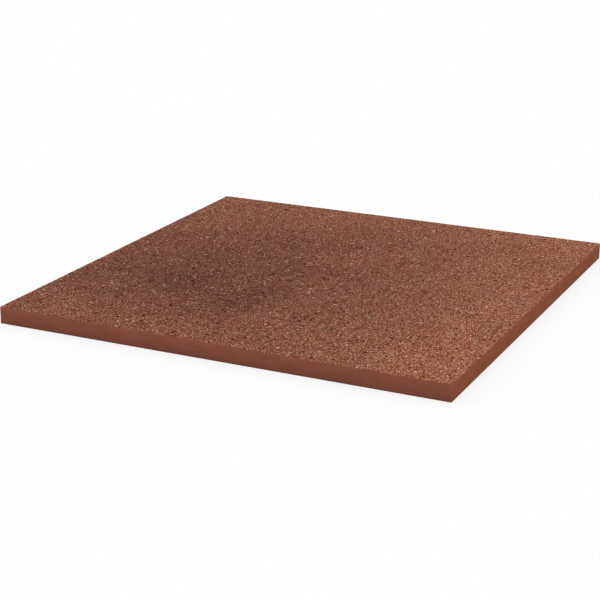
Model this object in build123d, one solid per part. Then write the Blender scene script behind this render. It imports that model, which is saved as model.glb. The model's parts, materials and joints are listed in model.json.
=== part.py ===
from build123d import *
import os
from math import floor

# Clinker floor tile: one slab of dense red-brown clay, pressed and fired in one piece.
# Millimetres, +Z up. The origin is the middle of the back, in the plane that the tile lies on.
# X runs along the length, Y along the width, and the wear face looks up.

# Slab
LENGTH = 300.0  # along X
WIDTH = 300.0  # along Y
THICKNESS = 11.0  # from the back plane to the wear face
CORNER_RADIUS = 1.2  # the four upright corners
FACE_ARRIS = 0.6  # eased edge round the wear face
BACK_ARRIS = 0.5  # eased edge round the back

# Keying grooves, pressed blind into the back so that no side is notched
GROOVE_WIDTH = 8.0  # across the mouth
GROOVE_DEPTH = 0.9
GROOVE_DRAFT = 25.0  # degrees that the flanks lean, to free the punch
RIB_WIDTH = 4.0  # standing between two grooves
BORDER = 10.0  # least flat border between the grooves and the sides


def slab():
    """The plain slab: rounded corners in plan, then both faces' edges eased."""
    with BuildPart() as blank:
        with BuildSketch():
            RectangleRounded(LENGTH, WIDTH, CORNER_RADIUS)
        extrude(amount=THICKNESS)
        fillet(blank.faces().sort_by(Axis.Z)[-1].edges(), FACE_ARRIS)
        fillet(blank.faces().sort_by(Axis.Z)[0].edges(), BACK_ARRIS)
    return blank.part


def keying_grooves():
    """The punch's ridges: a row of round-ended slots along Y that narrow towards their floors."""
    pitch = GROOVE_WIDTH + RIB_WIDTH
    count = floor((LENGTH - 2 * BORDER + RIB_WIDTH) / pitch)
    run = WIDTH - 2 * BORDER
    with BuildPart() as ridges:
        with BuildSketch():
            with GridLocations(pitch, pitch, count, 1):
                SlotOverall(run, GROOVE_WIDTH, rotation=90)
        extrude(amount=GROOVE_DEPTH, taper=GROOVE_DRAFT)
    return ridges.part


tile = slab() - keying_grooves()
tile.label = "tile"

os.makedirs("parts", exist_ok=True)
export_step(tile, "parts/tile.step")
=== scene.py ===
import json
from math import cos, pi, radians, sin, tan

import bmesh
import bpy
from mathutils import Matrix, Vector

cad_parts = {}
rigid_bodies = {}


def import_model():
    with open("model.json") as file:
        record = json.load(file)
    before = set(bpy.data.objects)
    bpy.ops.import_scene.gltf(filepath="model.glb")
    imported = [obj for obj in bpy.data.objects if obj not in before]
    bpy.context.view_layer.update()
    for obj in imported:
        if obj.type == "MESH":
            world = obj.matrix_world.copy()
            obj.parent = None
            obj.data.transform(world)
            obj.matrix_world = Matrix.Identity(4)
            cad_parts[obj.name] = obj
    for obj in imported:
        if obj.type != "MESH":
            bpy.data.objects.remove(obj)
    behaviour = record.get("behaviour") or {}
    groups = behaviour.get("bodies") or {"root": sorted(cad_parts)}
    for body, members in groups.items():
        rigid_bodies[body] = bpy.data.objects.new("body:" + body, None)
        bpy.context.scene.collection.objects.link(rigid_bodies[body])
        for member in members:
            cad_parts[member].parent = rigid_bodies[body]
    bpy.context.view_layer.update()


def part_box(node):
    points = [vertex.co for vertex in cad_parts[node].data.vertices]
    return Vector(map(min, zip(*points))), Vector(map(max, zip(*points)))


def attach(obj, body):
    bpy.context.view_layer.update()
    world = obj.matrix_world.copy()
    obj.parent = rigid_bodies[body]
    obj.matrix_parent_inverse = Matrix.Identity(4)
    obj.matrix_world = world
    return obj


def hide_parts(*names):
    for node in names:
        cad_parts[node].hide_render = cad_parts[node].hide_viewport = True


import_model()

# Slab
# The tile is one slab of dense red clay, dry-pressed in a steel mould and fired until it is
# almost as hard as glass. The wear face starts as a fine grid, one step to each large grain,
# and its outline is drawn down to make the four plain sides that the mould walls leave.
low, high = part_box("tile")
middle = (low + high) / 2
length = high.x - low.x
thickness = high.z - low.z
MM = 0.001
HAIR = 0.01 * MM
GRAIN_STEPS = 276
SIDE_STEPS = 7
UPRIGHT_CORNER = 1.05 * MM
CORNER_FACETS = 3


def pick(kind, wanted):
    """Selects, in edit mode, just the vertices, edges or faces that pass the test."""
    bpy.ops.mesh.select_mode(type=kind)
    bpy.ops.mesh.select_all(action="DESELECT")
    shape = bmesh.from_edit_mesh(bpy.context.object.data)
    for item in {"VERT": shape.verts, "EDGE": shape.edges, "FACE": shape.faces}[kind]:
        if wanted(item):
            item.select_set(True)
    bmesh.update_edit_mesh(bpy.context.object.data)


def from_side(vertex):
    """How far a vertex stands inside the nearest of the four sides."""
    return length / 2 - max(abs(vertex.co.x - middle.x), abs(vertex.co.y - middle.y))


bpy.ops.object.select_all(action="DESELECT")
bpy.ops.mesh.primitive_grid_add(
    x_subdivisions=GRAIN_STEPS,
    y_subdivisions=GRAIN_STEPS,
    size=length,
    location=(middle.x, middle.y, high.z),
)
tile = bpy.context.object
tile.name = "clinker_tile"
bpy.ops.object.transform_apply(location=True, rotation=True, scale=True)
bpy.ops.object.mode_set(mode="EDIT")
pick("VERT", lambda vertex: len(vertex.link_faces) == 1)
bpy.ops.mesh.bevel(offset=UPRIGHT_CORNER, segments=CORNER_FACETS, affect="VERTICES")
pick("EDGE", lambda edge: edge.is_boundary)
drop = {"value": (0, 0, -thickness / SIDE_STEPS)}
for step in range(SIDE_STEPS):
    bpy.ops.mesh.extrude_edges_move(TRANSFORM_OT_translate=drop)
bpy.ops.object.mode_set(mode="OBJECT")

# Keying grooves
# The punch presses a row of blind, round-ended grooves into the back, which the adhesive bed
# grips. Their flanks lean so that the punch draws out, and their lips and floors are a little
# rounded. One is modelled, repeated in a row and sewn into the back, inside the slab's outline.
GROOVE_WIDTH = 8 * MM
GROOVE_DEPTH = 0.9 * MM
GROOVE_DRAFT = radians(25)
GROOVE_PITCH = 12 * MM
GROOVE_COUNT = 23
GROOVE_BORDER = 10 * MM
LIP = 0.15 * MM
END_SIDES = 24
mouth = GROOVE_WIDTH / 2 / cos(pi / END_SIDES)
lean = tan(GROOVE_DRAFT)
groove_rings = (
    (LIP, mouth - LIP * lean),
    (GROOVE_DEPTH - LIP, mouth - (GROOVE_DEPTH - LIP) * lean),
    (GROOVE_DEPTH, mouth - GROOVE_DEPTH * lean - LIP),
)
stretch = length / 2 - GROOVE_BORDER - GROOVE_WIDTH / 2
first_groove = middle.x - GROOVE_PITCH * (GROOVE_COUNT - 1) / 2

bpy.ops.object.select_all(action="DESELECT")
bpy.ops.mesh.primitive_circle_add(
    vertices=END_SIDES,
    radius=mouth + LIP,
    location=(first_groove, middle.y, low.z),
    rotation=(0, 0, pi / END_SIDES),
)
grooves = bpy.context.object
bpy.ops.object.transform_apply(location=True, rotation=True, scale=True)
bpy.ops.object.mode_set(mode="EDIT")
bpy.ops.mesh.select_all(action="SELECT")
ring_height, ring_radius = 0, mouth + LIP
for height, radius in groove_rings:
    rise = {"value": (0, 0, height - ring_height)}
    bpy.ops.mesh.extrude_edges_move(TRANSFORM_OT_translate=rise)
    share = radius / ring_radius
    bpy.ops.transform.resize(value=(share, share, 1), center_override=(first_groove, middle.y, 0))
    ring_height, ring_radius = height, radius
bpy.ops.mesh.edge_face_add()
for end in (1, -1):
    pick("VERT", lambda vertex: (vertex.co.y - middle.y) * end > 0)
    bpy.ops.transform.translate(value=(0, end * stretch, 0))
bpy.ops.object.mode_set(mode="OBJECT")
row = grooves.modifiers.new("row", "ARRAY")
row.count = GROOVE_COUNT
row.use_relative_offset = False
row.use_constant_offset = True
row.constant_offset_displace = (GROOVE_PITCH, 0, 0)
bpy.ops.object.modifier_apply(modifier=row.name)
tile.select_set(True)
bpy.context.view_layer.objects.active = tile
bpy.ops.object.join()
bpy.ops.object.mode_set(mode="EDIT")
pick("EDGE", lambda edge: edge.is_boundary)
bpy.ops.mesh.fill(use_beauty=True)
bpy.ops.mesh.select_all(action="SELECT")
bpy.ops.mesh.normals_make_consistent(inside=False)

# Arrises
# The edges round both faces are eased in the mould, so that they don't chip: a little more
# round the wear face than round the back.
FACE_ARRIS = 0.6 * MM
BACK_ARRIS = 0.5 * MM
FACE_FACETS = 3
BACK_FACETS = 2
UPRIGHT_FACE = 0.5  # a face whose normal rises or falls less than this is a side
LEVEL_FACE = 0.99  # and one whose normal falls more than this lies flat in the back
for level, arris, facets in ((high.z, FACE_ARRIS, FACE_FACETS), (low.z, BACK_ARRIS, BACK_FACETS)):
    pick(
        "EDGE",
        lambda edge: all(
            abs(vertex.co.z - level) < HAIR and from_side(vertex) < UPRIGHT_CORNER - HAIR
            for vertex in edge.verts
        )
        and any(abs(face.normal.z) < UPRIGHT_FACE for face in edge.link_faces),
    )
    bpy.ops.mesh.bevel(offset=arris, segments=facets, affect="EDGES")
pick(
    "EDGE",
    lambda edge: all(abs(vertex.co.z - low.z) < HAIR for vertex in edge.verts)
    and any(face.normal.z > -LEVEL_FACE for face in edge.link_faces),
)
bpy.ops.mesh.mark_sharp()

# Grain of the wear face
# Coarse grog and sand in the clay stand proud of the unglazed face or tear out of it when it is
# pressed. Every vertex of the face is a grain: all are shaken a little out of place, some are
# lifted, and some are sunk as pits or larger pores.
SHAKE = 0.35 * MM
SHAKE_UPRIGHT = 0.2
SHAKE_SEED = 3
PIT_SHARE, PIT_DEPTH = 0.009, 0.4 * MM
PORE_SHARE, PORE_DEPTH = 0.0018, 0.6 * MM
LIFT_SHARE, LIFT_HEIGHT = 0.010, 0.12 * MM
SMOOTH_ANGLE = radians(50)
bpy.ops.object.mode_set(mode="OBJECT")
# grit marks the grainy face, grain its lifted grains, pits and pores, and bed the back
for name in ("grit", "grain", "bed"):
    tile.data.attributes.new(name, "FLOAT", "POINT")
bpy.ops.object.mode_set(mode="EDIT")


def paint(name, value):
    """Writes a value into one of the tile's attributes, at the selected vertices."""
    tile.data.attributes.active = tile.data.attributes[name]
    bpy.ops.mesh.attribute_set(value_float=value)


pick(
    "VERT",
    lambda vertex: vertex.co.z < low.z + GROOVE_DEPTH + HAIR and from_side(vertex) > BACK_ARRIS - HAIR,
)
paint("bed", 1)
pick("VERT", lambda vertex: vertex.co.z > high.z - FACE_ARRIS / 4)
paint("grit", 1)
bpy.ops.mesh.hide(unselected=True)
bpy.ops.transform.vertex_random(offset=SHAKE, seed=SHAKE_SEED)
bpy.ops.transform.resize(value=(1, 1, SHAKE_UPRIGHT), center_override=(0, 0, high.z))
bpy.ops.transform.translate(value=(0, 0, -SHAKE * SHAKE_UPRIGHT))
for share, height, value, seed in (
    (LIFT_SHARE, LIFT_HEIGHT, 1, 5),
    (PIT_SHARE, -PIT_DEPTH, -1, 8),
    (PORE_SHARE, -PORE_DEPTH, -2, 11),
):
    bpy.ops.mesh.select_all(action="DESELECT")
    bpy.ops.mesh.select_random(ratio=share, seed=seed)
    paint("grain", value)
    bpy.ops.transform.translate(value=(0, 0, height))
bpy.ops.mesh.reveal(select=False)
bpy.ops.object.mode_set(mode="OBJECT")
bpy.ops.object.shade_smooth_by_angle(angle=SMOOTH_ANGLE)

# Fired clay
# The body burns to a matt red-brown. Fire and kiln air leave soft darker clouds on the wear face. The
# face is also paler towards its edges, most along one side, and its grains run from black iron specks
# to pale grog.


def burnt(red, green, blue):
    """A colour given in screen values from 0 to 255, as the linear light that a shader takes."""
    shares = [value / 255 for value in (red, green, blue)]
    linear = [s / 12.92 if s <= 0.04045 else ((s + 0.055) / 1.055) ** 2.4 for s in shares]
    return (*linear, 1)


class Wire:
    """An output socket in a node tree. Python's operators on it add Math nodes."""

    def __init__(self, tree, socket=None):
        self.tree = tree
        self.socket = socket

    def node(self, kind, settings, sockets, output=0):
        """Adds a node of any type: its settings first, then its sockets' values or links."""
        made = self.tree.nodes.new("ShaderNode" + kind)
        settings = dict(settings)
        stops = settings.pop("stops", ())
        for name, value in settings.items():
            setattr(made, name, value)
        for index, (position, colour) in enumerate(stops):
            points = made.color_ramp.elements
            point = points[index] if index < 2 else points.new(position)
            point.position = position
            point.color = colour
        for name, value in sockets.items():
            self.feed(made.inputs[name], value)
        return Wire(self.tree, made.outputs[output])

    def feed(self, target, value):
        if isinstance(value, Wire):
            self.tree.links.new(value.socket, target)
        else:
            target.default_value = value

    def math(self, operation, *values):
        return self.node("Math", {"operation": operation}, dict(enumerate(values)))

    def ramp(self, start, end):
        """0 at start, 1 at end, and a smooth rise between them."""
        limits = {"Value": self, "From Min": start, "From Max": end}
        return self.node("MapRange", {"interpolation_type": "SMOOTHSTEP"}, limits)

    def __add__(self, other):
        return self.math("ADD", self, other)

    def __sub__(self, other):
        return self.math("SUBTRACT", self, other)

    def __rsub__(self, other):
        return self.math("SUBTRACT", other, self)

    def __mul__(self, other):
        return self.math("MULTIPLY", self, other)

    __radd__ = __add__
    __rmul__ = __mul__


def mix(share, first, second, blend="MIX"):
    """Two colours mixed, or blended another way, by a share that is a Wire or a number."""
    settings = {"data_type": "RGBA", "blend_type": blend}
    wire = next(item for item in (share, first, second) if isinstance(item, Wire))
    # A Mix node's colours go in at its sockets 6 and 7 and come out at 2
    return wire.node("Mix", settings, {0: share, 6: first, 7: second}, 2)


clay = bpy.data.materials.new("fired_clinker")
clay.use_nodes = True
shader = clay.node_tree.nodes["Principled BSDF"]
start = Wire(clay.node_tree)
place = start.node("TexCoord", {}, {}, "Object")
across, along, upward = (
    start.node("SeparateXYZ", {}, {"Vector": place}, axis) for axis in ("X", "Y", "Z")
)


def noise(size, detail=2, where=place):
    """Cloudy noise from 0 to 1, with blotches of about the given size."""
    sockets = {"Vector": where, "Scale": 1 / size, "Detail": detail}
    return start.node("TexNoise", {}, sockets, 0)


def drawn_out(shares):
    """The place on the tile, for a pattern that is drawn out along the axes with small shares."""
    return start.node("VectorMath", {"operation": "MULTIPLY"}, {0: place, 1: shares})


def cells(size, output):
    """A packing of grains of about the given size: their random colour or distance from centre."""
    return start.node("TexVoronoi", {}, {"Vector": place, "Scale": 1 / size}, output)


def chance(size):
    """A random number from 0 to 1 that each grain of the given size has for itself."""
    return start.node("SeparateColor", {}, {"Color": cells(size, "Color")}, 0)


def toned(colour, tone):
    """A colour made lighter or darker by a tone, which is 1 where it stays as it is."""
    return start.node("VectorMath", {"operation": "SCALE"}, {0: colour, "Scale": tone})


def painted(name):
    """One of the attributes that were written into the tile's vertices."""
    return start.node("Attribute", {"attribute_name": name}, {}, "Fac")


def swing(pattern, size):
    """A pattern that runs from 0 to 1, as a swing of the given size to both sides of nothing."""
    return (pattern - 0.5) * size


# Sand of the wear face, from dark to pale, with sparse specks of iron and of pale grog
FINE_GRAIN = 0.4 * MM
SAND_COLOURS = (
    (0.0, burnt(40, 8, 1)),
    (0.2, burnt(77, 29, 12)),
    (0.4, burnt(107, 57, 36)),
    (0.62, burnt(130, 75, 54)),
    (0.82, burnt(157, 106, 83)),
    (1.0, burnt(205, 159, 137)),
)
SPECK = 0.7 * MM
SPECK_EDGE = (0.62, 0.45)
IRON, IRON_SHARE = burnt(26, 4, 0), 0.02
GROG, GROG_SHARE = burnt(230, 192, 170), 0.012
fine = chance(FINE_GRAIN)
speck = chance(SPECK)
speck_core = cells(SPECK, "Distance").ramp(*SPECK_EDGE)
iron = speck.math("LESS_THAN", speck, IRON_SHARE) * speck_core
grog = speck.math("GREATER_THAN", speck, 1 - GROG_SHARE) * speck_core
sand = start.node("ValToRGB", {"stops": SAND_COLOURS}, {"Fac": fine})
sand = mix(iron, sand, IRON)
sand = mix(grog, sand, GROG)

# Clouds of the wear face: the middle of each darker smudge, how far it reaches and how deep it is
SMUDGES = (
    (Vector((-85, -20)) * MM, 140 * MM, 0.24),
    (Vector((35, -30)) * MM, 100 * MM, 0.10),
    (Vector((-60, 55)) * MM, 65 * MM, 0.07),
    (Vector((-72, -62)) * MM, 45 * MM, 0.14),
    (Vector((-17, -82)) * MM, 48 * MM, 0.15),
    (Vector((-130, -37)) * MM, 35 * MM, 0.10),
    (Vector((-17, 60)) * MM, 45 * MM, 0.08),
    (Vector((63, -17)) * MM, 40 * MM, 0.08),
    (Vector((145, -110)) * MM, 70 * MM, -0.12),
)
# Paler bands: the way that each runs, where it begins, where it is full, and how strong it is
PALER_BANDS = (
    (across, 20 * MM, 140 * MM, 0.30),
    (along, 80 * MM, 150 * MM, 0.12),
    (along, -110 * MM, -150 * MM, 0.06),
)
FIRE_LEVEL = 1.04
FIRE_PATCH, FIRE_SWING = 45 * MM, 0.25
CLOUD_PATCH, CLOUD_DRIFT = 30 * MM, 70 * MM
fire = FIRE_LEVEL + swing(noise(FIRE_PATCH, detail=3), FIRE_SWING)
for way, begins, full, strength in PALER_BANDS:
    fire = fire + way.ramp(begins, full) * strength
drift = swing(noise(CLOUD_PATCH, detail=5), CLOUD_DRIFT)
for spot, reach, depth in SMUDGES:
    centre = (*spot, high.z)
    away = start.node("VectorMath", {"operation": "DISTANCE"}, {0: place, 1: centre}, "Value")
    fire = fire - (away + drift).ramp(reach, 0) * depth
face_colour = toned(sand, fire)

# Kiln air tints the face: small red and olive patches, wider yellow and violet ones, violet clouds
PATCHY = (0.3, 0.7)
RED_PATCH, YELLOW_PATCH = 5 * MM, 11 * MM
FIRE_RANGE = (0.7, 1.4)
RED_CAST, OLIVE_CAST = (1.06, 0.985, 0.95, 1), (0.94, 1.015, 1.05, 1)
YELLOW_CAST, VIOLET_CAST = (1, 1.01, 0.92, 1), (1, 0.99, 1.08, 1)
WARM_FLUSH, VIOLET_CLOUD = (1, 1.01, 0.985, 1), (1, 0.98, 1.015, 1)
for cast in (
    mix(noise(RED_PATCH, detail=3).ramp(*PATCHY), OLIVE_CAST, RED_CAST),
    mix(noise(YELLOW_PATCH, detail=3).ramp(*PATCHY), VIOLET_CAST, YELLOW_CAST),
    mix(fire.ramp(*FIRE_RANGE), VIOLET_CLOUD, WARM_FLUSH),
):
    face_colour = mix(1.0, face_colour, cast, "MULTIPLY")

# Pits and pores are painted nearly black inside, as painted shade in the hollows, and lifted grains
# are pale, both as pale grog and as a painted highlight on their crests
RAGGED_EDGE, RAGGED_LEVEL = 0.5 * MM, 0.5
PIT_EDGE, LIFT_EDGE = (0.2, 0.4), (0.45, 0.68)
PIT_SHADE, PALE_GRAIN_AND_HIGHLIGHT = burnt(12, 2, 0), burnt(224, 185, 162)
ragged = noise(RAGGED_EDGE)
grain = painted("grain") * (ragged + RAGGED_LEVEL)
pit = (grain * -1).ramp(*PIT_EDGE)
lifted = grain.ramp(*LIFT_EDGE)
face_colour = mix(pit, face_colour, PIT_SHADE)
face_colour = mix(lifted, face_colour, PALE_GRAIN_AND_HIGHLIGHT)

# The sides are smooth from the mould, with faint streaks along them and drag marks up them. Their top
# band is painted a little lighter as a painted highlight, and the front side has its own painted light
# and shade: it is painted darker towards the floor as painted shade.
STREAK, ALONG_THE_SIDE = 4 * MM, (0.3, 0.3, 1)
DRAG_MARK, UP_THE_SIDE = 0.9 * MM, (1, 1, 0.12)
SIDE_SAND = 0.6 * MM
# the last of these is how much lighter the top of the sides is painted, as a painted highlight
DRAG_TONE, SAND_TONE, EDGE_HIGHLIGHT_TONE = 0.07, 0.16, 0.08
# how much lighter the front side is painted, and how much darker towards the floor, as painted light
# and shade
FRONT_PAINTED_LIFT, FLOOR_PAINTED_SHADE = 0.05, 0.25
FRONT_EDGE = (-148.5 * MM, -149.5 * MM)
# the top band of the sides, painted lighter as a highlight, and the front's band painted darker
# towards the floor as shade
EDGE_HIGHLIGHT_BAND, FLOOR_SHADE_BAND = (7 * MM, 11 * MM), (9 * MM, -2 * MM)
SIDE_DARK, SIDE_LIGHT = burnt(118, 68, 49), burnt(128, 73, 53)
# the front side's own colours: the sides' clay painted as it looks in the front's light
FRONT_PAINTED_DARK, FRONT_PAINTED_LIGHT = burnt(120, 71, 55), burnt(127, 75, 58)
streaks = noise(STREAK, detail=3, where=drawn_out(ALONG_THE_SIDE)).ramp(*PATCHY)
drag = noise(DRAG_MARK, where=drawn_out(UP_THE_SIDE))
front = along.ramp(*FRONT_EDGE)
# Painted highlight: a lighter band along the top of every side
edge_highlight = upward.ramp(*EDGE_HIGHLIGHT_BAND) * EDGE_HIGHLIGHT_TONE
# Painted shade: the front side lighter at the top and darker towards the floor
front_painted_shade = front * (FRONT_PAINTED_LIFT - upward.ramp(*FLOOR_SHADE_BAND) * FLOOR_PAINTED_SHADE)
marked = swing(drag, DRAG_TONE) + swing(noise(SIDE_SAND), SAND_TONE)
side_colour = mix(streaks, SIDE_DARK, SIDE_LIGHT)
# the front side painted in its own colours, a painted copy of the sides under other light
front_painted_colour = mix(streaks, FRONT_PAINTED_DARK, FRONT_PAINTED_LIGHT)
side_colour = mix(front, side_colour, front_painted_colour)
side_colour = toned(side_colour, 1 + edge_highlight + front_painted_shade + marked)

# The ribs of the back carry a dusting of pale wash from the kiln rollers, worn off in patches
BACK_PATCH = 35 * MM
BACK_DARK, BACK_LIGHT = burnt(113, 63, 46), burnt(127, 74, 55)
KILN_WASH = burnt(190, 160, 140)
WASH_PATCH, WASH_WORN = 40 * MM, (0.3, 0.65)
WASH_DUST, WASH_SPOTTED = 0.7 * MM, (0.35, 0.65)
RIB_WASH, GROOVE_WASH_LOSS, GROOVE_SHADE = 0.35, 0.3, 0.15
GROOVE_FLANK = (0.1 * MM, 0.7 * MM)
sunk = upward.ramp(*GROOVE_FLANK)
worn = noise(WASH_PATCH, detail=5).ramp(*WASH_WORN)
dusted = noise(WASH_DUST, detail=3).ramp(*WASH_SPOTTED)
wash = worn * dusted * (RIB_WASH - sunk * GROOVE_WASH_LOSS)
back_colour = mix(noise(BACK_PATCH, detail=4).ramp(*PATCHY), BACK_DARK, BACK_LIGHT)
back_colour = mix(wash, back_colour, KILN_WASH)
# Painted shade: the grooves are painted darker down their flanks and floors
back_colour = toned(back_colour, 1 - sunk * GROOVE_SHADE)
plain_colour = mix(painted("bed"), side_colour, back_colour)

# The grainy face gives way to the plain clay along a ragged line on the arris
GRAINY_EDGE, GRAINY_RAGGED = (0.65, 0.85), 0.5
grainy = (painted("grit") + ragged * GRAINY_RAGGED).ramp(*GRAINY_EDGE)
start.feed(shader.inputs["Base Color"], mix(grainy, plain_colour, face_colour))

# Each grain is a little dome, and the plain clay has a fine skin
DUST, DUST_HEIGHT = 0.3 * MM, 0.5
SKIN, SKIN_HEIGHT = 0.8 * MM, 0.3
GRAIN_BUMP = {"Strength": 0.6, "Distance": 0.2 * MM}
CLAY_ROUGHNESS, GRAIN_ROUGHNESS, ROUGHNESS_SWING = 0.8, 0.12, 0.1
FAINT_GLOSS = 0.02
domes = cells(FINE_GRAIN, "Distance") * -1 + noise(DUST) * DUST_HEIGHT
skin = noise(SKIN, detail=4) * SKIN_HEIGHT
relief = skin + grainy * (domes - skin)
bump = start.node("Bump", {}, {**GRAIN_BUMP, "Height": relief}, "Normal")
roughness = CLAY_ROUGHNESS + grainy * GRAIN_ROUGHNESS + swing(fine, ROUGHNESS_SWING)
start.feed(shader.inputs["Normal"], bump)
start.feed(shader.inputs["Roughness"], roughness)
shader.inputs["Specular IOR Level"].default_value = FAINT_GLOSS
tile.data.materials.append(clay)
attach(tile, "root")
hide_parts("tile")

# Floor
# A seamless sheet of white paper, far larger than the picture, on which the tile lies. The camera
# sees it lit nearly evenly, with only a faint shadow round the tile.
WHITE = (1, 1, 1, 1)
FLOOR_SIZE = 12
EVENNESS = 0.6
bpy.ops.object.select_all(action="DESELECT")
bpy.ops.mesh.primitive_plane_add(size=FLOOR_SIZE, location=(0, 0, low.z))
floor = bpy.context.object
floor.name = "paper_floor"
paper = bpy.data.materials.new("white_paper")
paper.use_nodes = True
sheet = Wire(paper.node_tree)


def looked_at(tree):
    """1 for a ray that the camera sends, also by way of gloss or glass, and 0 for other light."""
    kinds = ("Is Camera Ray", "Is Glossy Ray", "Is Transmission Ray")
    camera_ray, gloss_ray, glass_ray = (tree.node("LightPath", {}, {}, kind) for kind in kinds)
    return camera_ray + gloss_ray + glass_ray


matt = sheet.node("BsdfDiffuse", {}, {"Color": WHITE})
even = sheet.node("Emission", {}, {"Color": WHITE, "Strength": 1})
shown = sheet.node("MixShader", {}, {0: looked_at(sheet) * EVENNESS, 1: matt, 2: even})
sheet.feed(paper.node_tree.nodes["Material Output"].inputs["Surface"], shown)
floor.data.materials.append(paper)

# Studio light
# Even white light from all round fills the shadows, and one broad lamp at the front right
# brightens the right side a little more than the front.
FILL = 0.65
LAMP_AZIMUTH = radians(60)
LAMP_HEIGHT = radians(50)
LAMP_SPREAD = radians(30)
studio = bpy.data.worlds.new("studio")
studio.use_nodes = True
air = Wire(studio.node_tree)
backdrop = studio.node_tree.nodes["Background"]
backdrop.inputs["Color"].default_value = WHITE
air.feed(backdrop.inputs["Strength"], FILL + looked_at(air) * (1 - FILL))
bpy.context.scene.world = studio


def towards(azimuth, height):
    """The way to something seen at an azimuth round from the front and a height above the floor."""
    return Vector((sin(azimuth) * cos(height), -cos(azimuth) * cos(height), sin(height)))


bpy.ops.object.light_add(type="SUN")
lamp = bpy.context.object
lamp.name = "broad_lamp"
lamp.data.energy = (1 - FILL) * pi / sin(LAMP_HEIGHT)
lamp.data.angle = LAMP_SPREAD
lamp.rotation_euler = towards(LAMP_AZIMUTH, LAMP_HEIGHT).to_track_quat("Z", "Y").to_euler()

# Camera
# It stands about a metre off, in front of the tile and a little to the right, and looks down
# across the wear face through a long lens.
CAMERA_AZIMUTH = radians(25.635)
CAMERA_HEIGHT = radians(18.614)
CAMERA_ROLL = radians(0.071)
CAMERA_DISTANCE = 1.0477
AIM_RIGHT, AIM_UP = -0.01272, -0.00756
LENS = 94.1
CLIP_END = 100
back = towards(CAMERA_AZIMUTH, CAMERA_HEIGHT)
right = Vector((0, 0, 1)).cross(back).normalized()
right.rotate(Matrix.Rotation(CAMERA_ROLL, 3, back))
up = back.cross(right)
stand = middle - Vector((0, 0, thickness / 2))
stand += back * CAMERA_DISTANCE + right * AIM_RIGHT + up * AIM_UP
bpy.ops.object.camera_add()
camera = bpy.context.object
turn = Matrix((right, up, back)).transposed().to_4x4()
camera.matrix_world = Matrix.Translation(stand) @ turn
camera.data.lens = LENS
camera.data.clip_end = CLIP_END
bpy.context.scene.camera = camera
bpy.context.scene.view_settings.view_transform = "Standard"
